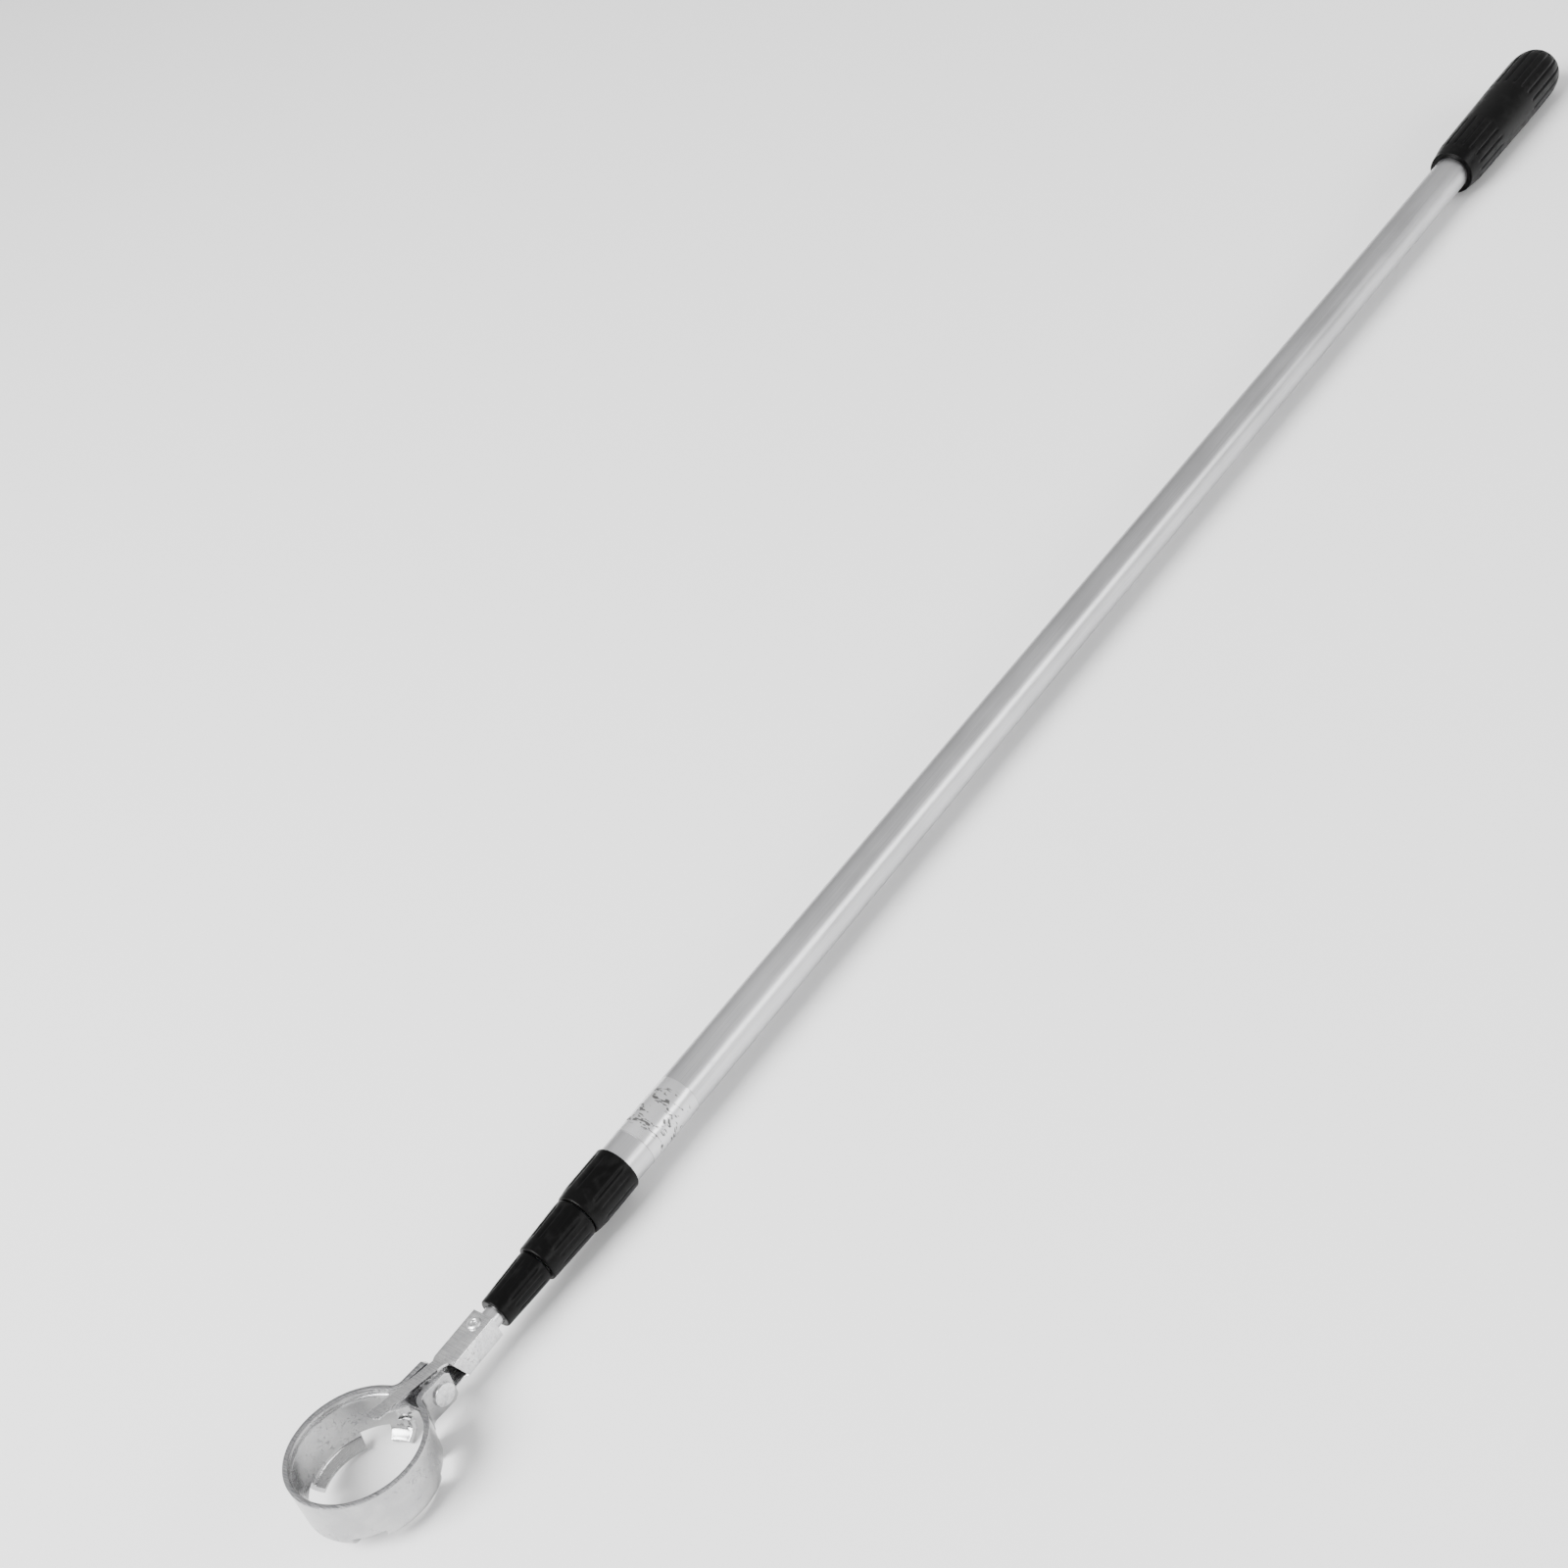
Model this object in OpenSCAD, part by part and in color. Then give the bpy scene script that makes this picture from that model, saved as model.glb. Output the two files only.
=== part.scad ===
// Telescopic golf ball retriever, shown closed and lying on its side.
// +X runs from the cup to the grip, +Z up, the floor is z = 0.
// The origin is on the floor, under the middle of the closed length.

/* [Pole] */
// Outside diameter of the outer tube
tube_od = 19; // [18:0.5:20]
// Step in diameter from one tube to the next
tube_step = 3.5; // [3.4:0.1:3.6]
// Wall thickness of every tube
tube_wall = 0.8; // [0.7:0.05:0.9]
// Length from the lowest collar to the end of the grip, closed
pole_len = 950; // [700:10:1100]

/* [Collars] */
// Length of the collar on the outer tube
collar_1_len = 25.8; // [24:0.2:28]
// Length of each of the two smaller collars
collar_len = 24.6; // [23:0.2:27]
// Number of flutes round each collar
collar_flutes = 14; // [13:1:16]

/* [Grip] */
// Length of the grip
grip_len = 120; // [110:2:130]
// Largest radius of the grip
grip_r = 14.7; // [14.3:0.1:15]
// Number of flutes round the grip
grip_flutes = 18; // [14:1:20]

/* [Arm] */
// Width across the flats of the square arm
arm_w = 10.8; // [10.6:0.1:11]
// Thickness of the arm's metal
arm_wall = 1.1; // [1:0.05:1.1]
// Angle at which the finger leaves the line of the pole
finger_bend = 15; // [12:1:18]
// Length of the finger from the bend to its tip
finger_len = 34.5; // [32:0.5:37]

/* [Cup] */
// Outside radius of the cup at its front rim
cup_r = 27.5; // [27:0.5:29]
// Depth of the cup from the front rim to the tabs
cup_depth = 24; // [23:0.5:26]
// Thickness of the cup's metal
cup_wall = 2; // [1.8:0.1:2.1]
// Lean of the cup's front towards the pole
cup_tilt = 6; // [4:1:8]
// Distance from the pivot to the cup's centre line
cup_reach = 36; // [36:0.5:38]

/* [Hidden] */
$fn = 64;

// Fits
slide_gap = 0.1;
pivot_gap = 0.06;
body_gap = 0.3;
ear_gap = 0.4;

// Wall of a collar round its tube, at its top end and at its low end
outer_collar_wall = [0.95, 0.2];
inner_collar_wall = [1.6, 0.9];
outer_collar_taper = 0.22;
inner_collar_taper = 0.85;

// Tubes: number 1 is the outer one, number 4 carries the head
function tube_r(n) = tube_od / 2 - (n - 1) * tube_step / 2;
function bore_r(n) = tube_r(n) - tube_wall;

// Stations along the pole, from the lower face of the lowest collar
collar_3_x = 0;
collar_2_x = collar_3_x + collar_len + body_gap;
collar_1_x = collar_2_x + collar_len + body_gap;
collar_stop = 3;
grip_x = pole_len - grip_len;
grip_end_wall = 8;
plug_flange = 1.5;
tube_1_top = pole_len - grip_end_wall - 2;
expander_len = 18;
stud_len = expander_len + 2 * body_gap;
head_len = 1.5;
plug_len = 12;
lock_len = plug_flange + stud_len + head_len;
tube_2_top = tube_1_top - plug_len - lock_len - 3;
tube_3_top = tube_2_top - plug_len - lock_len - 3;
tube_4_top = tube_3_top - plug_len - lock_len - 3;
function collar_x(n) = n == 1 ? collar_1_x : n == 2 ? collar_2_x : collar_3_x;
function tube_top(n) = n == 1 ? tube_1_top : n == 2 ? tube_2_top : n == 3 ? tube_3_top : tube_4_top;

// Arm and pivot, in the pole's own line
arm_end = -4;
box_len = 22.8;
notch_x = arm_end - box_len;
pivot_x = notch_x - 9.2;
pivot_z = 0.5;
pivot_r = 2.5;
arm_half = arm_w / 2;
finger_half = 4;
tube_4_low = arm_end - 16;
rivet_x = arm_end - 5;
rivet_r = 1.75;
rivet_bore_r = 1;

// Cup, measured from the pivot along its own leaning axes
rim_z = 7.5;
cup_low_z = rim_z - cup_depth;
ear_gap_half = finger_half + ear_gap;
ear_out = ear_gap_half + cup_wall;
ear_end = 5.5;
ear_low_z = -7;
lip_r = 20.2;
cone = 0.9;
bend_z = cup_low_z + 5.5;

// Place of the pole's line over the floor, and of the origin under the middle
lip_x = cup_reach - lip_r - 1;
cup_drop = -pivot_z - lip_x * sin(cup_tilt) - cup_low_z * cos(cup_tilt);
axis_z = max(grip_r, cup_drop);
far_x = pivot_x - (cup_reach + cup_r - cone) * cos(cup_tilt) + bend_z * sin(cup_tilt);
shift_x = -(far_x + pole_len) / 2;

// The pole's line lifted to its height over the floor
module on_pole() {
    translate([shift_x, 0, axis_z]) children();
}

// A ring turned about the pole's line from points of radius and station
module turned(points) {
    rotate([0, 90, 0]) rotate_extrude() polygon(points);
}

// Grooves along the pole, on a circle of the given radius
module flutes(count, radius, size, x0, x1) {
    for (i = [0:count - 1]) {
        rotate([i * 360 / count, 0, 0])
            translate([x0, 0, radius])
                rotate([0, 90, 0]) cylinder(h = x1 - x0, r = size, $fn = 24);
    }
}

module tube(n, x0) {
    color("silver") on_pole() turned([
        [bore_r(n), x0], [tube_r(n), x0],
        [tube_r(n), tube_top(n)], [bore_r(n), tube_top(n)]
    ]);
}

// A collar grips the end of one tube and guides the next one through its end wall
module collar(n, length, wall, taper_share) {
    x0 = collar_x(n);
    x1 = x0 + length;
    r_top = tube_r(n) + wall[0];
    r_low = tube_r(n) + wall[1];
    taper = length * taper_share;
    guide_r = tube_r(n + 1) + slide_gap;
    groove_r = 1;
    groove_out = 0.75;
    color([0.05, 0.05, 0.05]) on_pole() difference() {
        turned([
            [guide_r, x0], [r_low - 0.6, x0], [r_low, x0 + 0.8],
            [r_top, x0 + taper], [r_top, x1 - 0.8], [r_top - 0.6, x1],
            [tube_r(n), x1], [tube_r(n), x0 + collar_stop], [guide_r, x0 + collar_stop]
        ]);
        flutes(collar_flutes, r_top + groove_out, groove_r, x0 + taper + 0.5, x1 - 2);
    }
}

// The plug pressed into a tube's top, with the stud that carries the expander
module lock_plug(n) {
    x0 = tube_top(n);
    stud_r = bore_r(n) * 0.5;
    color("white") on_pole() turned([
        [0, x0 - plug_len], [bore_r(n), x0 - plug_len], [bore_r(n), x0],
        [tube_r(n), x0], [tube_r(n), x0 + plug_flange], [stud_r, x0 + plug_flange],
        [stud_r, x0 + plug_flange + stud_len], [tube_r(n) * 0.8, x0 + plug_flange + stud_len],
        [tube_r(n) * 0.8, x0 + lock_len], [0, x0 + lock_len]
    ]);
}

// The split bush on the stud, which spreads in the tube around it when twisted
module lock_expander(n) {
    x0 = tube_top(n) + plug_flange + body_gap;
    inner_r = bore_r(n) * 0.5 + slide_gap / 2;
    outer_r = bore_r(n - 1) - slide_gap;
    split = 1.2;
    color("gainsboro") on_pole() difference() {
        turned([
            [inner_r, x0], [outer_r - 0.5, x0], [outer_r, x0 + 0.5],
            [outer_r, x0 + expander_len - 0.5], [outer_r - 0.5, x0 + expander_len],
            [inner_r, x0 + expander_len]
        ]);
        translate([x0 - 1, -split / 2, 0]) cube([expander_len + 2, split, outer_r + 1]);
    }
}

// A cap over the top of the outer tube, with two fluted bands and a domed end
module grip() {
    lip_r0 = grip_r - 2.7;
    body_r0 = grip_r - 0.9;
    low_end = grip_x + 38;
    high_start = grip_x + 75;
    dome_len = 16;
    dome_steps = 8;
    end_r = grip_r - 5.5;
    flute_r = 1.1;
    dome = [for (i = [1:dome_steps]) [
        end_r + (grip_r - end_r) * cos(i * 90 / dome_steps),
        pole_len - dome_len + dome_len * sin(i * 90 / dome_steps)
    ]];
    color([0.04, 0.04, 0.04]) on_pole() difference() {
        turned(concat([
            [tube_r(1), grip_x], [lip_r0, grip_x], [lip_r0 + 0.5, grip_x + 2],
            [body_r0, grip_x + 12], [grip_r, high_start], [grip_r, pole_len - dome_len]
        ], dome, [
            [0, pole_len], [0, tube_1_top + 2], [tube_r(1), tube_1_top + 2]
        ]));
        flutes(grip_flutes, grip_r + 0.5, flute_r, grip_x + 8, low_end);
        flutes(grip_flutes, grip_r + 0.6, flute_r, high_start, pole_len - 3);
    }
}

module tube_end_plug() {
    low = tube_1_top - 10;
    cap = 2;
    hollow_r = 3;
    color("white") on_pole() turned([
        [hollow_r, low], [bore_r(1), low], [bore_r(1), tube_1_top],
        [tube_r(1), tube_1_top], [tube_r(1), tube_1_top + cap], [0, tube_1_top + cap],
        [0, tube_1_top - cap], [hollow_r, tube_1_top - cap]
    ]);
}

module tube_1() {
    tube(1, collar_x(1) + collar_stop);
}

// A plain sticker wrapped once round the outer tube
module label() {
    x0 = collar_1_x + collar_1_len + 10.5;
    x1 = x0 + 30;
    film_r = tube_r(1) + 0.1;
    color("whitesmoke") on_pole() turned([
        [tube_r(1), x0], [film_r, x0], [film_r, x1], [tube_r(1), x1]
    ]);
}

module collar_1() {
    collar(1, collar_1_len, outer_collar_wall, outer_collar_taper);
}

module tube_2() {
    tube(2, collar_x(2) + collar_stop);
}

module collar_2() {
    collar(2, collar_len, inner_collar_wall, inner_collar_taper);
}

module lock_plug_2() {
    lock_plug(2);
}

module lock_expander_2() {
    lock_expander(2);
}

module tube_3() {
    tube(3, collar_x(3) + collar_stop);
}

module collar_3() {
    collar(3, collar_len, inner_collar_wall, inner_collar_taper);
}

module lock_plug_3() {
    lock_plug(3);
}

module lock_expander_3() {
    lock_expander(3);
}

module tube_4() {
    color("silver") difference() {
        tube(4, tube_4_low);
        on_pole() translate([rivet_x, 0, 0]) cylinder(h = arm_w, r = rivet_r);
    }
}

module lock_plug_4() {
    lock_plug(4);
}

module lock_expander_4() {
    lock_expander(4);
}

// Side view of the arm from its square end to the finger's tip
finger_tip = [notch_x - finger_len * cos(finger_bend), arm_half + finger_len * sin(finger_bend)];
web_low = [pivot_x - 3.5, -arm_half];
back_tip = [pivot_x - 17, arm_half + (notch_x - pivot_x + 17) * tan(finger_bend) - 6.4];
web_tip = [finger_tip[0] + 2, finger_tip[1] - 3.5];

module arm_side() {
    polygon([
        [arm_end, -arm_half], [arm_end, arm_half], [notch_x, arm_half],
        finger_tip, web_tip, back_tip, web_low
    ]);
}

// The side view again, a wall's thickness inside its front and back edges
module arm_hollow() {
    up = arm_wall / cos(finger_bend);
    polygon([
        [arm_end + 1, arm_wall - arm_half], [arm_end + 1, arm_half - arm_wall],
        [notch_x, arm_half - arm_wall], finger_tip - [-1, up + 1 * tan(finger_bend)],
        finger_tip - [3, up - 3 * tan(finger_bend)], web_tip - [3, 0],
        back_tip + [-0.4, 0], back_tip + [0.7, arm_wall * 0.8],
        web_low + [0.4, arm_wall]
    ]);
}

// A slab across the arm from y0 to y1, cut to the side view that is given
module across(y0, y1) {
    translate([0, y1, 0]) rotate([90, 0, 0]) linear_extrude(y1 - y0) children();
}

module arm() {
    color("lightgray") on_pole() difference() {
        union() {
            difference() {
                across(-arm_half, arm_half) arm_side();
                across(arm_wall - arm_half, arm_half + 1) intersection() {
                    arm_hollow();
                    translate([notch_x, -arm_w]) square([box_len + 2, 2 * arm_w]);
                }
                across(-arm_half - 1, arm_half + 1)
                    translate([notch_x - 2 * finger_len, -arm_w]) square([2 * finger_len, 4 * arm_w]);
            }
            across(arm_half - arm_wall, arm_half)
                translate([notch_x, -arm_half]) square([box_len, arm_w]);
            difference() {
                across(-finger_half, finger_half) arm_side();
                across(-finger_half - 1, finger_half - arm_wall) arm_hollow();
                across(-arm_half - 1, arm_half + 1)
                    translate([notch_x + arm_wall, -arm_w]) square([2 * box_len, 2 * arm_w]);
            }
        }
        translate([pivot_x, 0, pivot_z])
            rotate([-90, 0, 0]) cylinder(h = arm_w, r = pivot_r + pivot_gap);
        translate([rivet_x, 0, 0]) cylinder(h = arm_w, r = rivet_r);
        translate([finger_tip[0], -finger_half, 0])
            rotate([0, 0, -55]) translate([-6, -6, 0]) cube([6.5, 9, 20]);
    }
}

// Hollow rivet from the arm's front into the thin tube
module arm_rivet() {
    color("silver") on_pole() translate([rivet_x, 0, 0]) rotate_extrude() polygon([
        [rivet_bore_r, 1.3], [2.3, 1.3], [2.3, 2.5], [rivet_r, 2.5],
        [rivet_r, arm_half], [2.9, arm_half], [2.9, arm_half + 0.4], [2.3, arm_half + 1],
        [1.5, arm_half + 1], [rivet_bore_r, arm_half + 0.5]
    ]);
}

// The cup's own axes, with the pivot at their origin
module on_cup() {
    on_pole() translate([pivot_x, 0, pivot_z]) rotate([0, cup_tilt, 0]) children();
}

// Wall of the cup turned about its centre line, with the lip that is bent in at the back
module cup_band() {
    r_back = cup_r - cone;
    translate([-cup_reach, 0, 0]) rotate_extrude($fn = 96) polygon([
        [cup_r, rim_z], [r_back, bend_z], [r_back - 0.8, bend_z - 2.3], [lip_r + 1, cup_low_z],
        [lip_r, cup_low_z + 1.7], [r_back - cup_wall - 0.4, bend_z - 1],
        [r_back - cup_wall, bend_z + 0.6], [cup_r - cup_wall, rim_z - 2.5],
        [cup_r - cup_wall + 0.5, rim_z - 2.5], [cup_r - cup_wall + 0.5, rim_z]
    ]);
}

// One ear: a flat plate with its outer corners cut off, and the curve into the band
module ear() {
    cut = 2;
    blend = 4;
    sink = 0.06;
    start_x = -cup_reach + cup_r - cup_wall * 0.9;
    blend_x = sqrt(pow(cup_r + blend, 2) - pow(ear_out + blend, 2)) - cup_reach;
    blend_turn = atan2(blend_x + cup_reach, ear_out + blend);
    curve = [for (i = [0:6]) [
        blend_x - (blend + sink) * sin(blend_turn * i / 6),
        ear_out + blend - (blend + sink) * cos(blend_turn * i / 6)
    ]];
    across(ear_gap_half, ear_out) polygon([
        [start_x, ear_low_z], [ear_end - cut, ear_low_z], [ear_end, ear_low_z + cut],
        [ear_end, rim_z - cut], [ear_end - cut, rim_z], [start_x, rim_z]
    ]);
    translate([0, 0, ear_low_z]) linear_extrude(rim_z - ear_low_z)
        polygon(concat([[blend_x, ear_out - 0.6]], curve, [[start_x, ear_out - 0.6]]));
}

module cup() {
    notch_w = 13;
    notch_h = 6.2;
    color("gainsboro") on_cup() difference() {
        union() {
            difference() {
                cup_band();
                translate([-cup_reach, -ear_gap_half, cup_low_z - 1])
                    cube([cup_reach, 2 * ear_gap_half, cup_depth + 2]);
                for (turn = [45:90:315]) {
                    translate([-cup_reach, 0, cup_low_z - 1]) rotate([0, 0, turn])
                        translate([cup_r / 2, -notch_w / 2, 0]) cube([cup_r, notch_w, notch_h + 1]);
                }
            }
            ear();
            mirror([0, 1, 0]) ear();
        }
        translate([0, ear_out + 1, 0])
            rotate([90, 0, 0]) cylinder(h = 2 * ear_out + 2, r = pivot_r);
    }
}

// Solid rivet through both ears and the finger, with a broad flat head
module pivot_rivet() {
    head_r = 4.7;
    head_h = 1.3;
    color("silver") on_cup() rotate([90, 0, 0]) rotate_extrude() polygon([
        [0, -ear_out - head_h], [head_r - 1, -ear_out - head_h], [head_r - 0.6, -ear_out],
        [pivot_r, -ear_out], [pivot_r, ear_out], [head_r, ear_out],
        [head_r, ear_out + head_h - 0.3], [head_r - 0.3, ear_out + head_h], [0, ear_out + head_h]
    ]);
}

grip();
tube_end_plug();
tube_1();
label();
collar_1();
tube_2();
collar_2();
lock_plug_2();
lock_expander_2();
tube_3();
collar_3();
lock_plug_3();
lock_expander_3();
tube_4();
lock_plug_4();
lock_expander_4();
arm();
arm_rivet();
cup();
pivot_rivet();
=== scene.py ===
import math

import bmesh
import bpy
import numpy as np
from mathutils import Matrix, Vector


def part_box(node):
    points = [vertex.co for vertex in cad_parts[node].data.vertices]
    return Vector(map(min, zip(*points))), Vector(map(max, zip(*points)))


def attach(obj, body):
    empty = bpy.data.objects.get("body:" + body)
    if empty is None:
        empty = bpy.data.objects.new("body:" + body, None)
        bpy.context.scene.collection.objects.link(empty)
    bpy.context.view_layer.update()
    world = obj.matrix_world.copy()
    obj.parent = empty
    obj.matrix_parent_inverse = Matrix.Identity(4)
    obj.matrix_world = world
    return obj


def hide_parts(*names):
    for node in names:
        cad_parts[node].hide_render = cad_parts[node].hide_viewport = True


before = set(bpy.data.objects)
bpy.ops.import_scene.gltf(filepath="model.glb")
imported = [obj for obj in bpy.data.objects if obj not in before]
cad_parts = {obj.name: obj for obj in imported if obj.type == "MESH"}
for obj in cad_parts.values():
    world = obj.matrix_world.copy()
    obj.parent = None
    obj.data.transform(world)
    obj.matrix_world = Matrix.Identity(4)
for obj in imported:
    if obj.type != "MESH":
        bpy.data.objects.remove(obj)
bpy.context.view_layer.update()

# ---------------------------------------------------------------------------------------
# Tubes. Four drawn aluminium tubes with a satin anodised finish, each sliding in the one
# above it. They are cut square, and the cut edges are only just broken. The thinnest one
# carries the head.

MM = 0.001
TUBE_WALL = 0.8
CUT_EDGE = 0.12
AROUND = 96
SAME_POINT = 1e-7
NO_LENGTH = 1e-9
SHARP_FOLD = math.radians(35)


def curve(t, first, middle, last):
    """Quadratic curve (1-t)^2 first + 2t(1-t) middle + t^2 last."""
    return (1 - t) ** 2 * first + 2 * t * (1 - t) * middle + t ** 2 * last


def rounded(corners, steps=5):
    """Profile with rounded corners. Each corner (station, radius, rounding) becomes a
    quadratic curve: it leaves one straight side and joins the next one at the distance
    `rounding` from the corner, and the corner itself is the curve's middle control point."""
    corners = np.array(corners, float)
    point = corners[:, :2]
    cut = corners[:, 2:]
    side = np.roll(point, -1, axis=0) - point
    side /= np.maximum(np.linalg.norm(side, axis=1, keepdims=True), NO_LENGTH)
    start = (point - np.roll(side, 1, axis=0) * cut)[:, None]
    end = (point + side * cut)[:, None]
    t = np.linspace(0, 1, steps)[None, :, None]
    return curve(t, start, point[:, None], end).reshape(-1, 2)


def skin(name, points, wrap=(False, False), keep=None, closed=True):
    """Quads over a grid of points given in millimetres. Cell (i, j) joins the points
    (i, j), (i, j+1), (i+1, j+1) and (i+1, j). wrap joins the last row or column to the
    first one, and keep says which cells exist. Equal points are merged, which closes
    seams and poles, and a closed skin has its faces turned outwards."""
    index = np.arange(points.shape[0] * points.shape[1]).reshape(points.shape[:2])
    if wrap[0]:
        index = np.concatenate([index, index[:1]])
    if wrap[1]:
        index = np.concatenate([index, index[:, :1]], axis=1)
    quads = np.stack([index[:-1, :-1], index[:-1, 1:], index[1:, 1:], index[1:, :-1]], axis=-1)
    if keep is not None:
        quads = quads[keep]
    mesh = bpy.data.meshes.new(name)
    mesh.from_pydata((points * MM).reshape(-1, 3).tolist(), [], quads.reshape(-1, 4).tolist())
    form = bmesh.new()
    form.from_mesh(mesh)
    bmesh.ops.remove_doubles(form, verts=form.verts, dist=SAME_POINT)
    bmesh.ops.delete(form, geom=[v for v in form.verts if not v.link_faces], context="VERTS")
    if closed:
        bmesh.ops.recalc_face_normals(form, faces=form.faces)
    form.to_mesh(mesh)
    form.free()
    mesh.polygons.foreach_set("use_smooth", np.ones(len(mesh.polygons), bool))
    mesh.set_sharp_from_angle(angle=SHARP_FOLD)
    piece = bpy.data.objects.new(name, mesh)
    bpy.context.scene.collection.objects.link(piece)
    return piece


def turned(name, profile, sides=AROUND, relief=None, line=(0, 0, 0), along="X"):
    """Surface of revolution about a line through the point `line`. A profile point at
    station s and radius r, turned by the angle a, lies s along the line and r away from
    it in the direction a. relief(s, a) is the depth taken off the radius. A profile that
    starts and ends on the line is closed there, and any other one is a ring."""
    angle = np.linspace(0, 2 * math.pi, sides, endpoint=False)[None, :]
    station = profile[:, :1]
    radius = profile[:, 1:]
    if relief is not None:
        radius = radius - relief(station, angle) * (radius > 0)
    station = station + 0 * angle
    across = radius * np.sin(angle)
    up = radius * np.cos(angle)
    order = {"X": (station, across, up), "Y": (across, station, up), "Z": (across, up, station)}
    points = np.stack(order[along], axis=-1) + np.array(line)
    ring = max(profile[0, 1], profile[-1, 1]) > 0
    return skin(name, points, wrap=(ring, True))


class Value:
    """A number that varies over a surface. Arithmetic on it adds Math nodes."""

    def __init__(self, finish, socket):
        self.finish = finish
        self.socket = socket

    def maths(self, operation, first, second):
        made = self.finish.node("Math", {"operation": operation}, {0: first, 1: second})
        return Value(self.finish, made.outputs[0])

    def __add__(self, other):
        return self.maths("ADD", self, other)

    def __radd__(self, other):
        return self.maths("ADD", other, self)

    def __sub__(self, other):
        return self.maths("SUBTRACT", self, other)

    def __rsub__(self, other):
        return self.maths("SUBTRACT", other, self)

    def __mul__(self, other):
        return self.maths("MULTIPLY", self, other)

    def __rmul__(self, other):
        return self.maths("MULTIPLY", other, self)

    def rise(self, low, high):
        """0 below low, 1 above high, and a smooth step between them."""
        sockets = {"Value": self, "From Min": low, "From Max": high}
        made = self.finish.node("MapRange", {"interpolation_type": "SMOOTHSTEP"}, sockets)
        return Value(self.finish, made.outputs["Result"])


class Finish:
    """One material on the object's own coordinates."""

    def __init__(self, name, **constants):
        self.material = bpy.data.materials.new(name)
        self.material.use_nodes = True
        self.tree = self.material.node_tree
        self.shader = self.tree.nodes["Principled BSDF"]
        self.place = self.node("TexCoord").outputs["Object"]
        for socket, number in constants.items():
            self.shader.inputs[socket.replace("_", " ")].default_value = number

    def node(self, kind, settings=None, sockets=None):
        """Adds a shader node: its settings first, then the values or links of its sockets."""
        made = self.tree.nodes.new("ShaderNode" + kind)
        for key, setting in (settings or {}).items():
            setattr(made, key, setting)
        for key, value in (sockets or {}).items():
            self.feed(made.inputs[key], value)
        return made

    def feed(self, socket, value):
        """Links a value to a socket, or sets the socket's own number or colour."""
        if isinstance(value, Value):
            value = value.socket
        if isinstance(value, bpy.types.NodeSocket):
            self.tree.links.new(value, socket)
        else:
            socket.default_value = value

    def mapped(self, stretch=(1, 1, 1), turn=(0, 0, 0), centre=(0, 0, 0)):
        """Object coordinates moved so that centre is their origin, turned and stretched."""
        moved = self.node("VectorMath", {"operation": "SUBTRACT"}, {0: self.place, 1: centre})
        sockets = {"Vector": moved.outputs[0], "Rotation": turn, "Scale": stretch}
        return self.node("Mapping", {"vector_type": "POINT"}, sockets).outputs[0]

    def noise(self, size, detail=3.0, stretch=(1, 1, 1), warp=0.0, turn=(0, 0, 0)):
        """Cloudy value from 0 to 1 whose patches are about `size` millimetres across."""
        sockets = {
            "Vector": self.mapped(stretch, turn), "Scale": 1 / (size * MM),
            "Detail": detail, "Distortion": warp,
        }
        return Value(self, self.node("TexNoise", None, sockets).outputs["Fac"])

    def blend(self, amount, low, high):
        """A colour between two others, or between a colour and another blend."""
        sockets = {"Factor": amount, 6: self.rgba(low), 7: self.rgba(high)}
        return self.node("Mix", {"data_type": "RGBA"}, sockets).outputs[2]

    def rgba(self, colour):
        return (*colour, 1.0) if isinstance(colour, tuple) else colour

    def paint(self, colour, roughness, height=None, depth=0.0):
        """Colour, roughness and a fine relief of `depth` millimetres on the shader."""
        self.feed(self.shader.inputs["Base Color"], self.rgba(colour))
        self.feed(self.shader.inputs["Roughness"], roughness)
        if height is not None:
            sockets = {"Height": height, "Distance": depth * MM, "Strength": 1.0}
            self.feed(self.shader.inputs["Normal"], self.node("Bump", None, sockets).outputs[0])
        return self.material


def satin_aluminium(name, light, dark, roughness):
    """Anodised aluminium: fine die lines along the tube, soft clouds and a few rubbed marks."""
    finish = Finish(name, Metallic=1.0)
    lines = finish.noise(0.35, 3, stretch=(0.006, 1, 1))
    clouds = finish.noise(16, 3, stretch=(0.35, 1, 1))
    rubs = finish.noise(2.2, 5, stretch=(0.5, 1, 1), warp=1.2).rise(0.60, 0.72)
    shade = clouds * 0.55 + lines * 0.45
    colour = finish.blend(shade.rise(0.35, 0.65), dark, light)
    colour = finish.blend(rubs * 0.25, colour, dark)
    rough = roughness + (clouds - 0.5) * 0.10 + (lines - 0.5) * 0.10 + rubs * 0.06
    return finish.paint(colour, rough, lines + rubs * 0.4, 0.012)


def fit(piece, node, body, material):
    """Gives a piece its finish and its place in the model, for the CAD node it stands for."""
    piece.data.materials.append(material)
    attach(piece, body)
    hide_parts(node)


def box_mm(node):
    """Lowest and highest corner of a CAD node, in millimetres."""
    low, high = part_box(node)
    return np.array(low) / MM, np.array(high) / MM


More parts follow.
